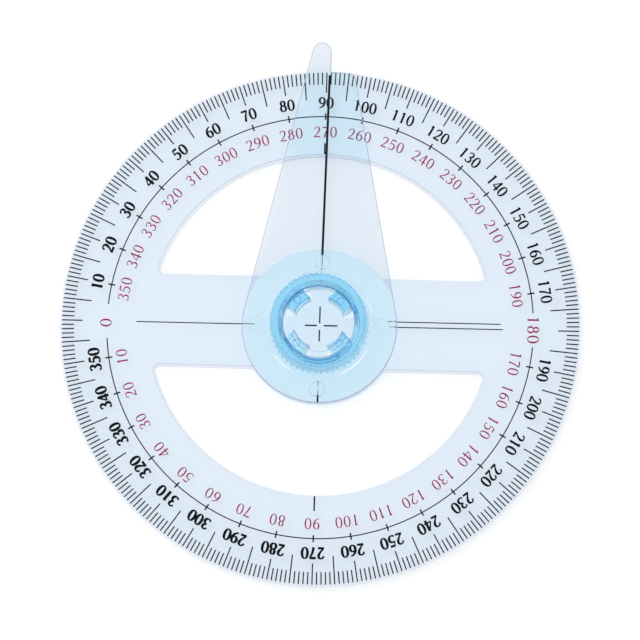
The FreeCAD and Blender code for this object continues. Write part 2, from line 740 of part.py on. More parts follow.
def make_arm_lines():
    """Index line and tail line, printed on the arm's underside close to the scale."""
    height = f"{ARM_FLOOR} - sizes.ink_thick"
    inner = f"{SEAT_RADIUS} + sizes.arm_line_inset"
    tail_end = "sizes.arm_hub_radius + sizes.arm_hub_drop - sizes.tail_line_width / 2"
    for label, turn, outer, offset in (
            ("index_line", QUARTER_TURN, f"{SCALE_RADIUS} - sizes.index_line_margin", "0"),
            ("tail_line", -QUARTER_TURN, tail_end, "sizes.tail_line_offset")):
        body = new_body(label, height, ARM_TURN)
        line = flat_sketch(body, label + "_outline", turn=str(turn))
        add_bar(line, inner, outer, f"sizes.{label}_width", offset)
        pad(body, label + "_ink", line, "sizes.ink_thick")


def check_document():
    """Stop on any failed object and on any sub-part that is empty or invalid."""
    doc.recompute()
    for item in doc.Objects:
        if "Invalid" in item.State or "Error" in item.State:
            raise ValueError(item.Label + " failed: " + str(item.State))
    for body in doc.findObjects("PartDesign::Body"):
        if body.Shape.isNull() or not body.Shape.isValid():
            raise ValueError(body.Label + " has no valid shape")


def write_parts():
    os.makedirs("parts", exist_ok=True)
    for body in doc.findObjects("PartDesign::Body"):
        body.Shape.exportStep(f"parts/{body.Label}.step")
        solids = len(body.Shape.Solids)
        print(f"{body.Label}: {solids} solids, {body.Shape.Volume:.3f} cubic mm")


make_dial()
make_arm()
make_lock_ring()
make_ticks()
make_numeral_circle()
make_base_lines()
make_window_marks()
make_centre_cross()
make_arm_lines()
check_document()
write_parts()
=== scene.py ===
import math

import bmesh
import bpy
from mathutils import Matrix, Vector, geometry


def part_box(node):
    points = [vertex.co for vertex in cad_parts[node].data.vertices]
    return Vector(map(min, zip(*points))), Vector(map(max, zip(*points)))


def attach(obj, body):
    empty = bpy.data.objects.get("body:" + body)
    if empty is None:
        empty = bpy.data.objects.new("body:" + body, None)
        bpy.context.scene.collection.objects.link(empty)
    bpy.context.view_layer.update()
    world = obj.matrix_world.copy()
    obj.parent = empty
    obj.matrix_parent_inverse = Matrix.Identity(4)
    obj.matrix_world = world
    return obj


# Full-circle protractor with a swinging arm: materials, printed numerals, studio and camera.
# Lengths are metres and angles are degrees, in the model's own frame.

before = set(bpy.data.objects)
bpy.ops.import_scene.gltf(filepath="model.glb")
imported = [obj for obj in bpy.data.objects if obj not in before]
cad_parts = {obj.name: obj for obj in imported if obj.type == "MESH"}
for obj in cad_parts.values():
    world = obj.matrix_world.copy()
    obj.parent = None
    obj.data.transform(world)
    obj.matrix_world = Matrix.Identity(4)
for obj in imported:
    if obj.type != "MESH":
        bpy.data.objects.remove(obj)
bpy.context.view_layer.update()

MM = 0.001

# Places on the model
dial_low, dial_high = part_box("dial")
arm_low, arm_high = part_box("arm")
circle_low, circle_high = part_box("numeral_circle")
PRINT_PLANE = dial_high.z
INK_THICK = circle_high.z - circle_low.z
DIAL_RADIUS = dial_high.x
CIRCLE_RADIUS = 41.3 * MM
HUB_RADIUS = 15.0 * MM
WINDOW_RADIUS = 33.5 * MM

# Camera, as a rig over the middle of the printed face
FRAME_PIXELS = 640
FOCAL_PIXELS = 3114.0
DIAL_CENTRE_PIXEL = (319.59, 325.61)
SENSOR_WIDTH = 36.0
CAMERA_DISTANCE = 602.4 * MM
CAMERA_TILT = 9.38
TILT_DIRECTION = 14.75
DIAL_TURN = 1.49
CLIP_FACTOR = 100


def along(angle):
    """Unit vector in the dial's plane, counter-clockwise from +X."""
    return Vector((math.cos(math.radians(angle)), math.sin(math.radians(angle)), 0))


def add_camera():
    """A long lens near the dial's axis, tilted a little, as the photograph was taken."""
    across = along(DIAL_TURN + TILT_DIRECTION)
    away = along(DIAL_TURN + TILT_DIRECTION + 90)
    tilt = math.radians(CAMERA_TILT)
    up = away * math.cos(tilt) + Vector((0, 0, math.sin(tilt)))
    back = -away * math.sin(tilt) + Vector((0, 0, math.cos(tilt)))
    turn = math.radians(TILT_DIRECTION)
    right_side = across * math.cos(turn) - up * math.sin(turn)
    top_side = across * math.sin(turn) + up * math.cos(turn)
    place = Vector((0, 0, PRINT_PLANE)) + back * CAMERA_DISTANCE

    camera = bpy.data.cameras.new("camera")
    camera.sensor_width = SENSOR_WIDTH
    camera.lens = SENSOR_WIDTH * FOCAL_PIXELS / FRAME_PIXELS
    camera.shift_x = 0.5 - DIAL_CENTRE_PIXEL[0] / FRAME_PIXELS
    camera.shift_y = DIAL_CENTRE_PIXEL[1] / FRAME_PIXELS - 0.5
    camera.clip_start = CAMERA_DISTANCE / CLIP_FACTOR
    camera.clip_end = CAMERA_DISTANCE * CLIP_FACTOR
    holder = bpy.data.objects.new("camera", camera)
    turned = Matrix((right_side, top_side, back)).transposed().to_4x4()
    holder.matrix_world = Matrix.Translation(place) @ turned
    bpy.context.scene.collection.objects.link(holder)
    bpy.context.scene.camera = holder


# Numerals: a stroke is a run of (across, up, weight), with places in shares of the digit's height, and
# weights from 0 for a hairline to 1 for a full stem
ROUND_SHARES = [
    (1.0, 0.0, 1.0), (0.74, 0.70, 0.72), (0.0, 1.0, 0.0), (-0.74, 0.70, 0.72),
    (-1.0, 0.0, 1.0), (-0.74, -0.70, 0.72), (0.0, -1.0, 0.0), (0.74, -0.70, 0.72),
]
SIX_SHARES = [
    (0.54, 0.95, 0.1), (0.37, 0.89, 0.25), (0.20, 0.73, 0.75), (0.11, 0.50, 1.0), (0.11, 0.30, 1.0),
    (0.18, 0.12, 0.65), (0.33, 0.04, 0.0), (0.48, 0.12, 0.7), (0.54, 0.31, 1.0), (0.49, 0.49, 0.75),
    (0.36, 0.58, 0.1), (0.22, 0.54, 0.2), (0.13, 0.43, 0.4),
]
DIGIT_CENTRE_SHARE = 0.325


def ring_stroke(middle_across, middle_up, half_width, half_height):
    """A closed round stroke, thin at its top and bottom."""
    return True, [(middle_across + half_width * x, middle_up + half_height * y, weight)
                  for x, y, weight in ROUND_SHARES]


DIGIT_SHARES = {
    "0": [ring_stroke(DIGIT_CENTRE_SHARE, 0.5, 0.235, 0.465)],
    "1": [
        (False, [(0.33, 0.0, 1.0), (0.33, 0.98, 1.0)]),
        (False, [(0.33, 0.94, 0.5), (0.17, 0.82, 0.1)]),
    ],
    "2": [
        (False, [(0.09, 0.73, 0.5), (0.16, 0.89, 0.3), (0.32, 0.96, 0.1), (0.48, 0.88, 0.75),
                 (0.52, 0.72, 1.0), (0.45, 0.52, 0.75), (0.29, 0.29, 0.3), (0.09, 0.07, 0.2)]),
        (False, [(0.07, 0.07, 0.65), (0.60, 0.07, 0.65)]),
    ],
    "3": [
        (False, [(0.10, 0.79, 0.4), (0.18, 0.91, 0.25), (0.32, 0.96, 0.1), (0.46, 0.88, 0.75),
                 (0.49, 0.75, 0.9), (0.42, 0.60, 0.5), (0.24, 0.53, 0.0)]),
        (False, [(0.24, 0.53, 0.0), (0.44, 0.47, 0.5), (0.53, 0.29, 1.0), (0.46, 0.11, 0.75),
                 (0.29, 0.04, 0.1), (0.15, 0.07, 0.3), (0.08, 0.17, 0.55)]),
    ],
    "4": [
        (False, [(0.46, 0.97, 0.2), (0.04, 0.28, 0.0)]),
        (False, [(0.03, 0.27, 0.3), (0.64, 0.27, 0.3)]),
        (False, [(0.45, 0.98, 1.0), (0.45, 0.0, 1.0)]),
    ],
    "5": [
        (False, [(0.17, 0.93, 0.75), (0.57, 0.93, 0.75)]),
        (False, [(0.19, 0.95, 0.0), (0.12, 0.53, 0.0)]),
        (False, [(0.12, 0.54, 0.2), (0.30, 0.60, 0.3), (0.47, 0.51, 0.8), (0.52, 0.33, 1.0),
                 (0.45, 0.13, 0.7), (0.28, 0.04, 0.1), (0.13, 0.07, 0.3), (0.07, 0.16, 0.55)]),
    ],
    "6": [(False, SIX_SHARES)],
    "7": [
        (False, [(0.06, 0.92, 0.8), (0.60, 0.92, 0.8)]),
        (False, [(0.58, 0.93, 0.2), (0.38, 0.50, 0.7), (0.27, 0.0, 1.0)]),
    ],
    "8": [
        ring_stroke(DIGIT_CENTRE_SHARE, 0.745, 0.165, 0.215),
        ring_stroke(DIGIT_CENTRE_SHARE, 0.285, 0.215, 0.245),
    ],
    "9": [(False, [(2 * DIGIT_CENTRE_SHARE - x, 1.0 - y, weight) for x, y, weight in SIX_SHARES])],
}
SAMPLES_PER_SPAN = 5
MERGE_SHARE = 1e-5


class PrintStyle:
    """Sizes of one row of numerals: spread is how much wider than drawn its digits are."""

    def __init__(self, height, advance, stem, hairline, spread=1.0):
        self.height = height
        self.advance = advance
        self.stem_share = stem / height
        self.hairline_share = hairline / height
        self.spread = spread


OUTER_STYLE = PrintStyle(height=2.25 * MM, advance=1.55 * MM, stem=0.49 * MM, hairline=0.25 * MM)
INNER_STYLE = PrintStyle(height=2.2 * MM, advance=1.6 * MM, stem=0.28 * MM, hairline=0.12 * MM)
BASE_STYLE = PrintStyle(height=2.3 * MM, advance=1.9 * MM, stem=0.3 * MM, hairline=0.12 * MM,
                        spread=1.12)
# The black print is heavier towards the lower left
PRESS_DIRECTION = -140
PRESS_SHARE = 0.17
# The red print sits a little off the black one: its shift, and more of it per metre across and along
RED_SHIFT = Vector((-0.14 * MM, -0.11 * MM, 0))
RED_DRIFT_ACROSS = Vector((0.0018, 0.0058, 0))
RED_DRIFT_ALONG = Vector((0.0042, -0.0031, 0))
OUTER_BASE_RADIUS = 42.95 * MM
INNER_BASE_RADIUS = 37.35 * MM
SCALE_STEP = 10
HALF_TURN = 180
FULL_TURN = 360


def smooth_run(points, closed):
    """Points of a smooth curve through the given ones, with the weight carried along."""
    if len(points) == 2:
        return [Vector(point) for point in points]
    count = len(points)
    spans = count if closed else count - 1

    def point_at(index):
        return Vector(points[index % count if closed else min(max(index, 0), count - 1)])

    run = []
    for index in range(spans):
        nearby = [point_at(index + step) for step in (-1, 0, 1, 2)]
        for sample in range(SAMPLES_PER_SPAN):
            run.append(catmull_rom(*nearby, sample / SAMPLES_PER_SPAN))
    if not closed:
        run.append(Vector(points[-1]))
    return run


def catmull_rom(before, first, last, after, share):
    """The point at a share of the way from first to last on a smooth curve through all four."""
    return 0.5 * (2 * first + (last - before) * share
                  + (2 * before - 5 * first + 4 * last - after) * share ** 2
                  + (3 * first - before - 3 * last + after) * share ** 3)


def stroke_quads(points, closed, style, press):
    """The quads of a stroke whose width follows the weights, made press times as wide."""
    run = smooth_run(points, closed)
    count = len(run)
    rails = []
    for index, place in enumerate(run):
        following = run[(index + 1) % count] if closed or index < count - 1 else place
        previous = run[index - 1] if closed or index > 0 else place
        heading = Vector((following.x - previous.x, following.y - previous.y)).normalized()
        half = (style.hairline_share + place.z * (style.stem_share - style.hairline_share)) / 2
        side = Vector((-heading.y, heading.x)) * half * press
        middle = Vector((place.x, place.y))
        rails.append((middle + side, middle - side))
    last = count if closed else count - 1
    for index in range(last):
        (left, right), (next_left, next_right) = rails[index], rails[(index + 1) % count]
        yield [left, right, next_right, next_left]


def digit_faces(digit, style, press):
    """Points and triangles of a digit's area, with its strokes joined into one."""
    points = []
    quads = []
    for closed, stroke in DIGIT_SHARES[digit]:
        for quad in stroke_quads(stroke, closed, style, press):
            quads.append(list(range(len(points), len(points) + len(quad))))
            points.extend(quad)
    whole_hull = 0
    verts, _, faces, _, _, sources = geometry.delaunay_2d_cdt(points, [], quads, whole_hull, MERGE_SHARE)
    return verts, [face for face, strokes in zip(faces, sources) if strokes]


def red_drift(place):
    """How far the red print is shifted at a place on the dial."""
    return RED_SHIFT + RED_DRIFT_ACROSS * place.x + RED_DRIFT_ALONG * place.y


def numerals_mesh(name, labels, style, red):
    """Labels given as (text, middle direction, base radius), as flat solids of the ink's thickness."""
    mesh = bmesh.new()
    for text, direction, base_radius in labels:
        outward = along(direction)
        across = along(direction - 90)
        middle = Vector((0, 0, PRINT_PLANE + INK_THICK))
        if red:
            middle += red_drift(outward * base_radius)
        press = 1.0 if red else 1.0 + PRESS_SHARE * outward.dot(along(PRESS_DIRECTION))
        for place, digit in enumerate(text):
            start = (place - (len(text) - 1) / 2) * style.advance
            points, faces = digit_faces(digit, style, press)
            verts = []
            for point in points:
                sideways = start + (point.x - DIGIT_CENTRE_SHARE) * style.height * style.spread
                radius = base_radius + point.y * style.height
                verts.append(mesh.verts.new(middle + across * sideways + outward * radius))
            for face in faces:
                mesh.faces.new([verts[corner] for corner in face])
    # The grown copies stay as the tops, and the first points sink to the printed face
    grown = bmesh.ops.extrude_face_region(mesh, geom=list(mesh.faces))
    top_verts = {item for item in grown["geom"] if isinstance(item, bmesh.types.BMVert)}
    for vert in set(mesh.verts) - top_verts:
        vert.co.z -= INK_THICK
    bmesh.ops.recalc_face_normals(mesh, faces=mesh.faces)
    data = bpy.data.meshes.new(name)
    mesh.to_mesh(data)
    mesh.free()
    piece = bpy.data.objects.new(name, data)
    bpy.context.scene.collection.objects.link(piece)
    return piece


def add_numerals():
    """Outer black numerals, inner red ones that count the other way, and the two on the base line."""
    outer = []
    inner = []
    for reading in range(SCALE_STEP, FULL_TURN, SCALE_STEP):
        if reading == HALF_TURN:
            continue
        direction = HALF_TURN - reading
        outer.append((str(reading), direction, OUTER_BASE_RADIUS))
        inner.append((str(FULL_TURN - reading), direction, INNER_BASE_RADIUS))
    base_radius = CIRCLE_RADIUS - BASE_STYLE.height / 2
    base = [("0", HALF_TURN, base_radius), (str(HALF_TURN), 0, base_radius)]
    for name, labels, style, slot in (("outer_numerals", outer, OUTER_STYLE, "black_ink"),
                                      ("inner_numerals", inner, INNER_STYLE, "red_ink"),
                                      ("base_numerals", base, BASE_STYLE, "red_ink")):
        piece = numerals_mesh(name, labels, style, slot == "red_ink")
        piece.data.materials.append(INKS[slot])
        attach(piece, "dial")


# Materials: a range says where a ramp starts and ends, and one of four numbers also what it gives there
PLASTIC_IOR = 1.49
SOFT_GLOSS = (0.45, 0.45, 0.45)
WAVE_SCALE = 60.0
WAVE_DETAIL = 3.0
WAVE_STRENGTH = 0.1
WAVE_HEIGHT = 0.02 * MM
SCUFF_SCALE = 900.0
SCUFF_DETAIL = 4.0
SCUFF_STRETCH = (1, 0.15, 1)
SCUFF_ROUGHNESS_RANGE = (0.35, 0.75, 0.0, 0.03)
STEEP_RANGE = (0.97, 0.75)
TURNED_SHARE = 0.998
BEVEL_SAMPLES = 6
# The width over which one look passes into the next
FADE = 0.1 * MM

# Frosted walls, with painted shade lines at their top and foot
WALL_COLOUR = (0.95, 0.95, 0.99)
WALL_CLEAR_SHARE = 0.65
WALL_ROUGHNESS = 0.5
EDGE_SHADE_WIDTH = 0.3 * MM
UPPER_EDGE_SHADE = (0.36, 0.45, 0.62)
LOWER_EDGE_SHADE = (0.78, 0.7, 0.82)

# Dial: its tint, painted shade along its edges, faint at the rim, and a painted strip beside them
DIAL_TINT = (0.86, 0.912, 0.968)
DIAL_SHADE = (0.924, 0.952, 0.979)
DIAL_WALL_SHADE = 0.94
DIAL_EDGE_SHADE = (0.42, 0.46, 0.64)
DIAL_PAINTED_STRIP = (0.85, 0.9, 0.98)
RIM_EDGE_SHADE = (0.97, 0.97, 0.98)
RIM_BAND = 0.8 * MM

# Arm: its tint, with painted shade where only the floor is under it, painted shade along its edges with a
# painted strip beside them, and painted highlights on the recess round the ring
ARM_SHADED_TINT_OPEN = (0.81, 0.835, 0.895)
ARM_TINT_OVER_DIAL = (0.91, 0.99, 1.0)
ARM_SHADE = (0.95, 0.985, 1.0)
ARM_WALL_SHADE = 0.98
ARM_EDGE_SHADE = (0.5, 0.53, 0.68)
ARM_PAINTED_STRIP = (0.88, 0.88, 0.96)
ARM_PLAIN_RADIUS = 10.8 * MM
TINT_STEP = 0.5 * MM
SEAT_RADIUS = 10.42 * MM
SEAT_GLINT_RANGE = (0.16 * MM, 0.06 * MM)
GLINT_COLOUR = (1.0, 1.0, 1.0)
# Painted highlights: the direction of a glint's middle, how squarely a place faces it where the glint
# starts and where it is full, and how strong it is
GLINT_STRETCHES = [(-47, 0.92, 0.97, 0.75), (228, 0.96, 0.99, 0.6), (22, 0.975, 0.995, 0.35)]

# Lock ring: its tint, with painted shade on the top, in the bore and at the lip, painted light and shade on
# the legs, painted shade along its edges and painted highlights down the teeth; its stretches are as those
# of the glints, at full strength
RING_TINT = (0.74, 0.94, 1.0)
RING_SHADE = (1.0, 1.0, 1.0)
RING_WALL_SHADE = 1.0
RING_ABSORBS = ((0.0, 0.76, 1.0), 55.0)
RING_EDGE_SHADE = (0.004, 0.08, 0.3)
RING_STRIP_SHADE = (0.55, 0.85, 0.98)
MOUTH_RADIUS = 7.65 * MM
# Painted shade: a dark band on the top in front of the mouth, a darker bore wall, darkest on its near side,
# a dark line at the lip, and legs lit on the near side and shaded on the far side
MOUTH_SHADE_BAND = 0.42 * MM
MOUTH_SHADE_FADE = 0.15 * MM
MOUTH_SHADE = (0.24, 0.55, 0.76)
MOUTH_SHADE_STRETCH = (274, 0.84, 0.94)
BORE_SHADE_FAR = (0.4, 0.7, 0.93)
BORE_SHADE_NEAR = (0.02, 0.22, 0.6)
NEAR_STRETCH = (245, -0.3, 0.8)
BORE_SHADE_STRETCH = (8, 0.94, 0.98)
LIP_RADIUS = 6.87 * MM
LIP_SHADE_LINE = 0.18 * MM
LIP_SHADE_FADE = 0.08 * MM
LIP_SHADE_COLOUR = (0.002, 0.03, 0.16)
LEG_SHADED_TINT_FAR = (0.5, 0.78, 0.94)
LEG_LIT_TINT_NEAR = (0.84, 0.93, 1.0)
TOOTH_RANGE = (8.6 * MM, 8.8 * MM)
TOOTH_EDGE_SHADE = (0.24, 0.58, 0.94)
TOOTH_STRIP_HIGHLIGHT = (0.97, 1.0, 1.0)
TOOTH_HAZE_SHARE = 0.45
TOOTH_HAZE_COLOUR = (0.88, 0.98, 1.0)

# Inks
BLACK = (0.002, 0.003, 0.005)
RED = (0.25, 0.006, 0.07)
BLOTCH_SCALE = 1500.0
BLOTCH_DETAIL = 2.0
BLOTCH_RANGE = (0.45, 0.8)
BLOTCH_GAIN = 2.2
BLOTCH_LIFT = 0.002
INK_ROUGHNESS_RANGE = (0.3, 0.7, 0.4, 0.65)
INK_GLOSS_LEVEL = 0.08
INK_CLEAR_SHARE = 0.75
ARM_TURN = -0.65
TAIL_OFFSET = 0.2 * MM
INDEX_FAINT_RADIUS = 13.75 * MM
TAIL_FAINT_RADIUS = 13.5 * MM
TAIL_FADE = 1.0 * MM
HAIRLINE_RANGE = (0.06 * MM, 0.09 * MM, 1.0, 0.0)
BREAK_SCALE = 1800.0
BREAK_DETAIL = 1.0
HAIRLINE_BREAK_RANGE = (0.42, 0.5, 0.1, 0.75)
BASE_LINE_BREAK_RANGE = (0.4, 0.6, 0.15, 0.6)
BASE_LINE_BOLD_RANGE = (14.2 * MM, 15.0 * MM)

# The Mix node has a first input, a second input and an output for each kind of data
MIX_SOCKETS = {"FLOAT": (2, 3, 0), "VECTOR": (4, 5, 1), "RGBA": (6, 7, 2)}
# Factors that keep the level part or the upright part of a vector
LEVEL_PART = (1, 1, 0)
UPRIGHT_PART = (0, 0, 1)


class Nodes:
    """An emptied node tree, with short ways to add and join nodes."""

    def __init__(self, tree):
        self.tree = tree
        tree.nodes.clear()

    def node(self, kind, **settings):
        made = self.tree.nodes.new(kind)
        for name, setting in settings.items():
            setattr(made, name, setting)
        return made

    def feed(self, socket, source):
        """Join a socket to another node's output, or give it a plain value."""
        if isinstance(source, bpy.types.NodeSocket):
            self.tree.links.new(source, socket)
        else:
            socket.default_value = source

    def math(self, operation, first, second=0.0):
        made = self.node("ShaderNodeMath", operation=operation)
        self.feed(made.inputs[0], first)
        self.feed(made.inputs[1], second)
        return made.outputs[0]

    def vector_math(self, operation, first, second=(0, 0, 0), output="Vector"):
        made = self.node("ShaderNodeVectorMath", operation=operation)
        self.feed(made.inputs[0], first)
        self.feed(made.inputs[1], second)
        return made.outputs[output]

    def mix(self, kind, share, first, second):
        first_socket, second_socket, output = MIX_SOCKETS[kind]
        made = self.node("ShaderNodeMix", data_type=kind)
        self.feed(made.inputs[0], share)
        self.feed(made.inputs[first_socket], first)
        self.feed(made.inputs[second_socket], second)
        return made.outputs[output]

    def ramp(self, source, low, high, at_low=0.0, at_high=1.0, curve="LINEAR"):
        """Turn low to high into at_low to at_high, and hold those two beyond them."""
        made = self.node("ShaderNodeMapRange", interpolation_type=curve)
        for name, amount in (("Value", source), ("From Min", low), ("From Max", high),
                             ("To Min", at_low), ("To Max", at_high)):
            self.feed(made.inputs[name], amount)
        return made.outputs[0]


class Shader(Nodes):
    """A material's nodes. Places and distances are in the piece's own frame."""

    def __init__(self, name):
        self.material = bpy.data.materials.new(name)
        self.material.use_nodes = True
        super().__init__(self.material.node_tree)
        self.output = self.node("ShaderNodeOutputMaterial")

    def finish(self, surface):
        self.feed(self.output.inputs["Surface"], surface)
        return self.material

    def noise(self, scale, detail, stretch=(1, 1, 1)):
        mapping = self.node("ShaderNodeMapping")
        self.feed(mapping.inputs["Vector"], self.node("ShaderNodeTexCoord").outputs["Object"])
        mapping.inputs["Scale"].default_value = stretch
        made = self.node("ShaderNodeTexNoise")
        self.feed(made.inputs["Vector"], mapping.outputs[0])
        made.inputs["Scale"].default_value = scale
        made.inputs["Detail"].default_value = detail
        return made.outputs[0]

    def place(self, turn=0.0):
        """Coordinates, turned about the dial's axis."""
        mapping = self.node("ShaderNodeMapping")
        mapping.inputs["Rotation"].default_value = (0, 0, math.radians(turn))
        self.feed(mapping.inputs["Vector"], self.node("ShaderNodeTexCoord").outputs["Object"])
        parts = self.node("ShaderNodeSeparateXYZ")
        self.feed(parts.inputs[0], mapping.outputs[0])
        return parts.outputs

    def distance(self):
        """Level distance from the dial's axis."""
        across, forward, _ = self.place()
        return self.math("SQRT", self.math("ADD", self.math("MULTIPLY", across, across),
                                           self.math("MULTIPLY", forward, forward)))

    def steepness(self):
        """0 on level faces, 1 on bevels and walls."""
        parts = self.node("ShaderNodeSeparateXYZ")
        self.feed(parts.inputs[0], self.node("ShaderNodeNewGeometry").outputs["True Normal"])
        return self.ramp(self.math("ABSOLUTE", parts.outputs[2]), *STEEP_RANGE)

    def outward(self):
        """Level unit vector away from the dial's axis."""
        place = self.node("ShaderNodeNewGeometry").outputs["Position"]
        return self.vector_math("NORMALIZE", self.vector_math("MULTIPLY", place, LEVEL_PART))

    def stretch(self, direction, start, full, strength=1.0):
        """A share that rises to strength the more squarely a place faces a direction from the axis."""
        facing = self.vector_math("DOT_PRODUCT", self.outward(), tuple(along(direction)), "Value")
        return self.ramp(facing, start, full, 0.0, strength)

    def blend_colours(self, share, first, second):
        return self.mix("RGBA", share, first, second)

    def bump(self, height, strength, distance, normal):
        made = self.node("ShaderNodeBump")
        made.inputs["Strength"].default_value = strength
        made.inputs["Distance"].default_value = distance
        self.feed(made.inputs["Height"], height)
        self.feed(made.inputs["Normal"], normal)
        return made.outputs[0]

    def turned_normal(self):
        """Normals that follow the turned walls round the dial's axis, where a facet lies along one."""
        normal = self.node("ShaderNodeNewGeometry").outputs["True Normal"]
        outward = self.outward()
        reach = self.vector_math("DOT_PRODUCT", normal, outward, "Value")
        level_normal = self.vector_math("MULTIPLY", normal, LEVEL_PART)
        length = self.vector_math("LENGTH", level_normal, output="Value")
        along_turn = self.math("GREATER_THAN", self.math("ABSOLUTE", reach),
                               self.math("MULTIPLY", length, TURNED_SHARE))
        turned = self.vector_math("ADD", self.vector_math("MULTIPLY", outward, reach),
                                  self.vector_math("MULTIPLY", normal, UPRIGHT_PART))
        return self.vector_math("NORMALIZE", self.mix("VECTOR", along_turn, normal, turned))

    def rounded_edges(self, edge):
        """Normals that round every edge off, and the shares of painted shade on the edge and of the painted
        strip beside it.
        """
        base = self.turned_normal()
        rounded = self.node("ShaderNodeBevel", samples=BEVEL_SAMPLES)
        rounded.inputs["Radius"].default_value = edge.radius
        self.feed(rounded.inputs["Normal"], base)
        same = self.vector_math("DOT_PRODUCT", rounded.outputs[0], base, "Value")
        return rounded.outputs[0], self.ramp(same, *edge.line_turn), self.ramp(same, *edge.strip_turn)

    def mix_shaders(self, share, first, second):
        made = self.node("ShaderNodeMixShader")
        self.feed(made.inputs[0], share)
        self.feed(made.inputs[1], first)
        self.feed(made.inputs[2], second)
        return made.outputs[0]

    def lamp_rays(self):
        """1 for rays that carry light to another surface, which clear plastic lets through."""
        path = self.node("ShaderNodeLightPath")
        return self.math("MAXIMUM", path.outputs["Is Shadow Ray"], path.outputs["Is Diffuse Ray"])


def opaque(colour):
    return (*colour, 1.0)


def painted(colour, shader):
    """A plain colour, or what a function of the shader paints by place."""
    return colour(shader) if callable(colour) else opaque(colour)


class Edge:
    """How a moulding's rounded edges look: a line of painted shade on each edge and a painted strip beside
    it, shade on most faces and a highlight down the ring's teeth.

    line_turn and strip_turn say how nearly the rounded normal still follows the face where line and
    strip start, and where they are full.
    """

    def __init__(self, radius, line_colour, strip_colour, line_turn=(0.95, 0.8), strip_turn=(0.998, 0.96)):
        self.radius = radius
        self.line_colour = line_colour
        self.strip_colour = strip_colour
        self.line_turn = line_turn
        self.strip_turn = strip_turn


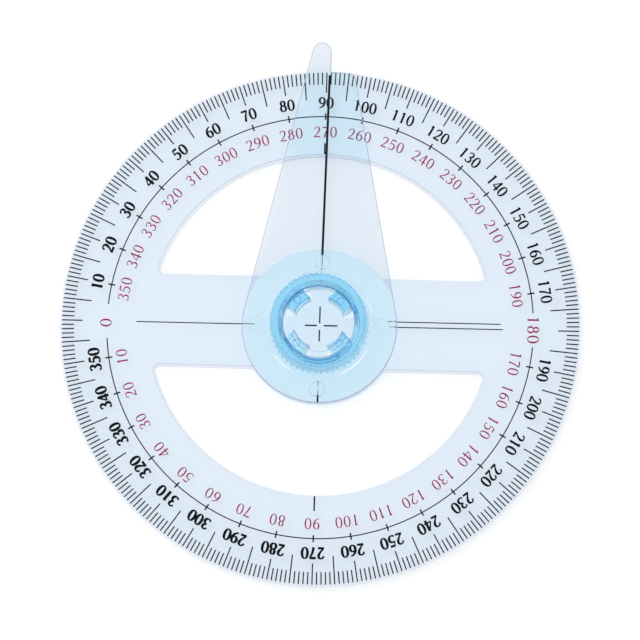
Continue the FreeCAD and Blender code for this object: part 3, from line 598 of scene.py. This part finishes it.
class Plastic:
    """A clear moulding: what it does to the light that is seen through it, and to lamplight.

    tint is its colour to the eye, with painted shade where a function gives it by place, and shade what its
    faces leave of lamplight, with wall_shade times that on its walls. absorbs gives the colour and density
    of what the plastic takes up inside. frost gives the lowest and highest place of walls that scatter, and
    the colours of the painted shade lines at their top and foot, which stop at rim_radius. Edges have no
    painted line within plain_radius. The last argument gives a kind of shader node, a function for its
    share and its colour: on the arm it paints highlights, on the ring it lets part of the light straight
    through the sides of the teeth.
    """

    def __init__(self, name, tint, edge, shade, wall_shade, absorbs=None, frost=None, rim_radius=None,
                 plain_radius=None, haze=None):
        self.name = name
        self.tint = tint
        self.edge = edge
        self.shade = shade
        self.wall_shade = tuple(part * wall_shade for part in shade)
        self.absorbs = absorbs
        self.frost = frost
        self.rim_radius = rim_radius
        self.plain_radius = plain_radius
        self.haze = haze

    def material(self):
        shader = Shader(self.name)
        steep = shader.steepness()
        rounded, on_line, on_strip = shader.rounded_edges(self.edge)
        if self.plain_radius:
            past = shader.ramp(shader.distance(), self.plain_radius, self.plain_radius + FADE)
            on_line = shader.math("MULTIPLY", on_line, past)
            on_strip = shader.math("MULTIPLY", on_strip, past)
        seen = self.clear_body(shader, rounded, on_line, on_strip)
        if self.frost:
            seen = shader.mix_shaders(steep, seen, self.frosted_wall(shader, rounded))
        if self.haze:
            # A mixed-in layer: painted highlights on the arm, tooth sides that let light straight through
            # on the ring
            overlay_kind, overlay_share, overlay_colour = self.haze
            haze = shader.node(overlay_kind)
            haze.inputs["Color"].default_value = opaque(overlay_colour)
            seen = shader.mix_shaders(overlay_share(shader), seen, haze.outputs[0])
        if self.absorbs:
            volume = shader.node("ShaderNodeVolumeAbsorption")
            volume.inputs["Color"].default_value = opaque(self.absorbs[0])
            volume.inputs["Density"].default_value = self.absorbs[1]
            shader.feed(shader.output.inputs["Volume"], volume.outputs[0])
        window = shader.node("ShaderNodeBsdfTransparent")
        shader.feed(window.inputs["Color"],
                    shader.blend_colours(steep, opaque(self.shade), opaque(self.wall_shade)))
        return shader.finish(shader.mix_shaders(shader.lamp_rays(), seen, window.outputs[0]))

    def clear_body(self, shader, normal, on_line, on_strip):
        """Clear plastic with slow waves and fine scuffs, its tint and painted shade given by place, and
        painted shade and highlights along its edges.
        """
        colour = shader.blend_colours(on_strip, painted(self.tint, shader),
                                      painted(self.edge.strip_colour, shader))
        colour = shader.blend_colours(on_line, colour, painted(self.edge.line_colour, shader))
        waves = shader.noise(WAVE_SCALE, WAVE_DETAIL)
        scuffs = shader.noise(SCUFF_SCALE, SCUFF_DETAIL, SCUFF_STRETCH)
        body = shader.node("ShaderNodeBsdfPrincipled")
        shader.feed(body.inputs["Base Color"], colour)
        body.inputs["Transmission Weight"].default_value = 1.0
        body.inputs["IOR"].default_value = PLASTIC_IOR
        body.inputs["Specular Tint"].default_value = opaque(SOFT_GLOSS)
        shader.feed(body.inputs["Roughness"], shader.ramp(scuffs, *SCUFF_ROUGHNESS_RANGE))
        shader.feed(body.inputs["Normal"], shader.bump(waves, WAVE_STRENGTH, WAVE_HEIGHT, normal))
        return body.outputs[0]

    def frosted_wall(self, shader, normal):
        """Walls that scatter light a little, with lines of painted shade along their two edges."""
        low, high, upper_shade, lower_shade = self.frost
        height = shader.place()[2]
        near_top = shader.ramp(height, high - EDGE_SHADE_WIDTH, high - EDGE_SHADE_WIDTH / 2)
        near_foot = shader.ramp(height, low + EDGE_SHADE_WIDTH, low + EDGE_SHADE_WIDTH / 2)
        if self.rim_radius:
            within = shader.ramp(shader.distance(), self.rim_radius, self.rim_radius - FADE)
            near_top = shader.math("MULTIPLY", near_top, within)
            near_foot = shader.math("MULTIPLY", near_foot, within)
        colour = shader.blend_colours(near_top, opaque(WALL_COLOUR), opaque(upper_shade))
        colour = shader.blend_colours(near_foot, colour, opaque(lower_shade))
        wall = shader.node("ShaderNodeBsdfPrincipled")
        shader.feed(wall.inputs["Base Color"], colour)
        wall.inputs["Roughness"].default_value = WALL_ROUGHNESS
        shader.feed(wall.inputs["Normal"], normal)
        clear = shader.node("ShaderNodeBsdfTransparent")
        clear.inputs["Color"].default_value = opaque(WALL_COLOUR)
        off_lines = shader.math("SUBTRACT", 1.0, shader.math("MAXIMUM", near_top, near_foot))
        see_through = shader.math("MULTIPLY", off_lines, WALL_CLEAR_SHARE)
        return shader.mix_shaders(see_through, wall.outputs[0], clear.outputs[0])


def printed_ink(name, colour, cover=None):
    """Thin print: a satin film whose colour is uneven, and that lamps shine through in part."""
    shader = Shader(name)
    blotches = shader.noise(BLOTCH_SCALE, BLOTCH_DETAIL)
    lighter = tuple(part * BLOTCH_GAIN + BLOTCH_LIFT for part in colour)
    film = shader.node("ShaderNodeBsdfPrincipled")
    shader.feed(film.inputs["Base Color"], shader.blend_colours(shader.ramp(blotches, *BLOTCH_RANGE),
                                                                opaque(colour), opaque(lighter)))
    film.inputs["Specular IOR Level"].default_value = INK_GLOSS_LEVEL
    shader.feed(film.inputs["Roughness"], shader.ramp(blotches, *INK_ROUGHNESS_RANGE))
    bare = shader.node("ShaderNodeBsdfTransparent")
    seen_through = shader.math("MULTIPLY", shader.lamp_rays(), INK_CLEAR_SHARE)
    if cover:
        seen_through = shader.math("MAXIMUM", seen_through, shader.math("SUBTRACT", 1.0, cover(shader)))
    return shader.finish(shader.mix_shaders(seen_through, film.outputs[0], bare.outputs[0]))


def dial_line_colour(shader):
    """Painted edge shade: dark round the windows and hardly there along the rim."""
    on_rim = shader.ramp(shader.distance(), DIAL_RADIUS - RIM_BAND, DIAL_RADIUS - RIM_BAND / 2)
    return shader.blend_colours(on_rim, opaque(DIAL_EDGE_SHADE), opaque(RIM_EDGE_SHADE))


def arm_tint(shader):
    """The arm's tint, with painted shade: greyer where only the floor is under it, beyond its hub and past
    the dial.
    """
    radius = shader.distance()
    past_hub = shader.ramp(radius, HUB_RADIUS - TINT_STEP / 2, HUB_RADIUS + TINT_STEP / 2)
    on_band = shader.ramp(radius, WINDOW_RADIUS - TINT_STEP / 2, WINDOW_RADIUS + TINT_STEP / 2)
    past_rim = shader.ramp(radius, DIAL_RADIUS - TINT_STEP, DIAL_RADIUS)
    in_open = shader.math("MAXIMUM", shader.math("SUBTRACT", past_hub, on_band), past_rim)
    return shader.blend_colours(in_open, opaque(ARM_TINT_OVER_DIAL), opaque(ARM_SHADED_TINT_OPEN))


def seat_glints(shader):
    """Painted highlights: short bright arcs on the recess round the ring, by direction round the dial's
    axis.
    """
    off_seat = shader.math("ABSOLUTE", shader.math("SUBTRACT", shader.distance(), SEAT_RADIUS))
    lit = 0.0
    for glint in GLINT_STRETCHES:
        lit = shader.math("MAXIMUM", lit, shader.stretch(*glint))
    return shader.math("MULTIPLY", shader.ramp(off_seat, *SEAT_GLINT_RANGE), lit)


def ring_tint(shader):
    """The ring's tint with painted shade: the bore darker, most of all on its near side and on a stretch
    facing 8 degrees, a dark band on the top in front of the mouth, a dark line at the lip, and the legs
    lighter where the bore is darkest.
    """
    radius = shader.distance()
    near_side = shader.math("MAXIMUM", shader.stretch(*NEAR_STRETCH), shader.stretch(*BORE_SHADE_STRETCH))
    mouth_edge = MOUTH_RADIUS + MOUTH_SHADE_BAND
    by_mouth = shader.ramp(radius, mouth_edge, mouth_edge - MOUTH_SHADE_FADE)
    mouth_shade = shader.math("MULTIPLY", by_mouth, shader.stretch(*MOUTH_SHADE_STRETCH))
    top = shader.blend_colours(mouth_shade, opaque(RING_TINT), opaque(MOUTH_SHADE))
    bore_shade = shader.blend_colours(near_side, opaque(BORE_SHADE_FAR), opaque(BORE_SHADE_NEAR))
    lip_edge = LIP_RADIUS + LIP_SHADE_LINE
    lip_shade = shader.ramp(radius, lip_edge, lip_edge - LIP_SHADE_FADE)
    bore_shade = shader.blend_colours(lip_shade, bore_shade, opaque(LIP_SHADE_COLOUR))
    leg_light_and_shade = shader.blend_colours(near_side, opaque(LEG_SHADED_TINT_FAR), opaque(LEG_LIT_TINT_NEAR))
    on_bore = shader.ramp(radius, MOUTH_RADIUS, MOUTH_RADIUS - FADE)
    on_wall = shader.math("MULTIPLY", on_bore, shader.steepness())
    on_leg = shader.ramp(radius, LIP_RADIUS, LIP_RADIUS - FADE)
    return shader.blend_colours(on_leg, shader.blend_colours(on_wall, top, bore_shade), leg_light_and_shade)


def down_teeth(shader):
    """1 on the sides of the teeth."""
    on_tooth = shader.ramp(shader.distance(), *TOOTH_RANGE)
    return shader.math("MULTIPLY", on_tooth, shader.steepness())


def ring_line_colour(shader):
    """Painted edge shade: dark on the ring's top and bore, pale down the teeth."""
    return shader.blend_colours(down_teeth(shader), opaque(RING_EDGE_SHADE), opaque(TOOTH_EDGE_SHADE))


def ring_strip_colour(shader):
    """Painted strips beside the edge lines: blue shade on the ring's top and bore, a near-white highlight
    down the teeth.
    """
    return shader.blend_colours(down_teeth(shader), opaque(RING_STRIP_SHADE), opaque(TOOTH_STRIP_HIGHLIGHT))


def tooth_haze(shader):
    """The sides of the teeth let part of the light straight through."""
    return shader.math("MULTIPLY", down_teeth(shader), TOOTH_HAZE_SHARE)


def line_breaks(shader, break_range):
    """Small gaps in a printed line."""
    return shader.ramp(shader.noise(BREAK_SCALE, BREAK_DETAIL), *break_range)


def arm_line_cover(shader):
    """The arm's lines thin out to broken hairlines near the ring."""
    across, forward, _ = shader.place(-ARM_TURN)
    on_tail = shader.math("LESS_THAN", forward, 0.0)
    off_line = shader.math("SUBTRACT", across, shader.math("MULTIPLY", on_tail, TAIL_OFFSET))
    hairline = shader.ramp(shader.math("ABSOLUTE", off_line), *HAIRLINE_RANGE)
    faint_radius = shader.ramp(forward, -TAIL_FADE, TAIL_FADE, TAIL_FAINT_RADIUS, INDEX_FAINT_RADIUS)
    bold = shader.ramp(shader.math("SUBTRACT", shader.distance(), faint_radius), 0.0, FADE)
    broken = shader.math("MULTIPLY", hairline, line_breaks(shader, HAIRLINE_BREAK_RANGE))
    return shader.math("MAXIMUM", bold, broken)


def base_line_cover(shader):
    """The base lines fade where they run in under the ring."""
    bold = shader.ramp(shader.distance(), *BASE_LINE_BOLD_RANGE)
    return shader.math("MAXIMUM", bold, line_breaks(shader, BASE_LINE_BREAK_RANGE))


# Painted shade lines on the mouldings' edges, and painted strips beside them
DIAL_EDGE = Edge(radius=0.12 * MM, line_colour=dial_line_colour, strip_colour=DIAL_PAINTED_STRIP)
ARM_EDGE = Edge(radius=0.35 * MM, line_colour=ARM_EDGE_SHADE, strip_colour=ARM_PAINTED_STRIP)
RING_EDGE = Edge(radius=0.15 * MM, line_colour=ring_line_colour, strip_colour=ring_strip_colour,
                 line_turn=(0.985, 0.93), strip_turn=(0.999, 0.99))
PLASTICS = {
    "dial": Plastic("dial_plastic", tint=DIAL_TINT, edge=DIAL_EDGE,
                    shade=DIAL_SHADE, wall_shade=DIAL_WALL_SHADE,
                    frost=(dial_low.z, dial_high.z, UPPER_EDGE_SHADE, LOWER_EDGE_SHADE),
                    rim_radius=DIAL_RADIUS - RIM_BAND).material(),
    "arm": Plastic("arm_plastic", tint=arm_tint, edge=ARM_EDGE,
                   shade=ARM_SHADE, wall_shade=ARM_WALL_SHADE,
                   frost=(arm_low.z, arm_high.z, UPPER_EDGE_SHADE, UPPER_EDGE_SHADE),
                   plain_radius=ARM_PLAIN_RADIUS,
                   haze=("ShaderNodeBsdfDiffuse", seat_glints, GLINT_COLOUR)).material(),
    "lock_ring": Plastic("ring_plastic", tint=ring_tint, edge=RING_EDGE,
                         shade=RING_SHADE, wall_shade=RING_WALL_SHADE, absorbs=RING_ABSORBS,
                         haze=("ShaderNodeBsdfTransparent", tooth_haze, TOOTH_HAZE_COLOUR)).material(),
}
INKS = {
    "black_ink": printed_ink("black_print", BLACK),
    "red_ink": printed_ink("red_print", RED),
}
ARM_PRINT = printed_ink("arm_print", BLACK, arm_line_cover)
SPECIAL_INKS = {
    "index_line": ARM_PRINT,
    "tail_line": ARM_PRINT,
    "base_lines": printed_ink("base_line_print", BLACK, base_line_cover),
}


def dress_nodes():
    """Give each CAD node its material."""
    for name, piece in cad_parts.items():
        material = PLASTICS.get(name) or SPECIAL_INKS.get(name, INKS["black_ink"])
        for material_slot in piece.material_slots:
            material_slot.material = material


# Studio
FLOOR_DROP = 0.2 * MM
FLOOR_HALF = 3.0
KEY_PLACE = Vector((-0.42, 0.38, 0.9))
KEY_SIZE = 0.6
KEY_POWER = 2.4
WORLD_LEVEL = 0.9
HORIZON_RISE = 0.1
OVERHEAD_RISE = 0.6
OVERHEAD_LEVEL = 0.6
WHITE = (1.0, 1.0, 1.0)
FLOOR_COLOUR = (0.8, 0.8, 0.8)
MOST_BOUNCES = 32
CLEAR_BOUNCES = 24


def add_floor():
    """A plain floor that keeps soft shadows, and is white to the eye."""
    mesh = bmesh.new()
    corners = [(-1, -1), (1, -1), (1, 1), (-1, 1)]
    mesh.faces.new([mesh.verts.new((x * FLOOR_HALF, y * FLOOR_HALF, dial_low.z - FLOOR_DROP))
                    for x, y in corners])
    data = bpy.data.meshes.new("floor")
    mesh.to_mesh(data)
    mesh.free()
    floor = bpy.data.objects.new("floor", data)
    bpy.context.scene.collection.objects.link(floor)
    shader = Shader("floor_paper")
    paper = shader.node("ShaderNodeBsdfDiffuse")
    path = shader.node("ShaderNodeLightPath")
    seen = shader.math("MAXIMUM", path.outputs["Is Camera Ray"], path.outputs["Is Transmission Ray"])
    seen = shader.math("MAXIMUM", seen, path.outputs["Is Glossy Ray"])
    shader.feed(paper.inputs["Color"], shader.blend_colours(seen, opaque(FLOOR_COLOUR), opaque(WHITE)))
    data.materials.append(shader.finish(paper.outputs[0]))


def add_lights():
    """A white room, dimmer overhead to the eye, and one large soft lamp from the upper left."""
    world = bpy.data.worlds.new("room")
    bpy.context.scene.world = world
    world.use_nodes = True
    room = Nodes(world.node_tree)
    path = room.node("ShaderNodeLightPath")
    lights_things = room.math("MAXIMUM", path.outputs["Is Diffuse Ray"], path.outputs["Is Shadow Ray"])
    direction = room.node("ShaderNodeSeparateXYZ")
    room.feed(direction.inputs[0], room.node("ShaderNodeTexCoord").outputs["Generated"])
    overhead = room.ramp(direction.outputs[2], HORIZON_RISE, OVERHEAD_RISE, 1.0, OVERHEAD_LEVEL,
                         "SMOOTHSTEP")
    backdrop = room.node("ShaderNodeBackground")
    backdrop.inputs["Color"].default_value = opaque(WHITE)
    room.feed(backdrop.inputs["Strength"], room.mix("FLOAT", lights_things, overhead, WORLD_LEVEL))
    output = room.node("ShaderNodeOutputWorld")
    room.feed(output.inputs["Surface"], backdrop.outputs[0])

    lamp = bpy.data.lights.new("key", "AREA")
    lamp.shape = "DISK"
    lamp.size = KEY_SIZE
    lamp.energy = KEY_POWER
    holder = bpy.data.objects.new("key", lamp)
    holder.location = KEY_PLACE
    holder.rotation_mode = "QUATERNION"
    holder.rotation_quaternion = (-KEY_PLACE).to_track_quat("-Z", "Y")
    bpy.context.scene.collection.objects.link(holder)


def set_render():
    """Plain colours, and enough bounces for rays that cross all three mouldings."""
    scene = bpy.context.scene
    scene.view_settings.view_transform = "Standard"
    scene.cycles.max_bounces = MOST_BOUNCES
    scene.cycles.glossy_bounces = CLEAR_BOUNCES
    scene.cycles.transmission_bounces = CLEAR_BOUNCES
    scene.cycles.transparent_max_bounces = MOST_BOUNCES


set_render()
add_camera()
add_floor()
add_lights()
dress_nodes()
add_numerals()
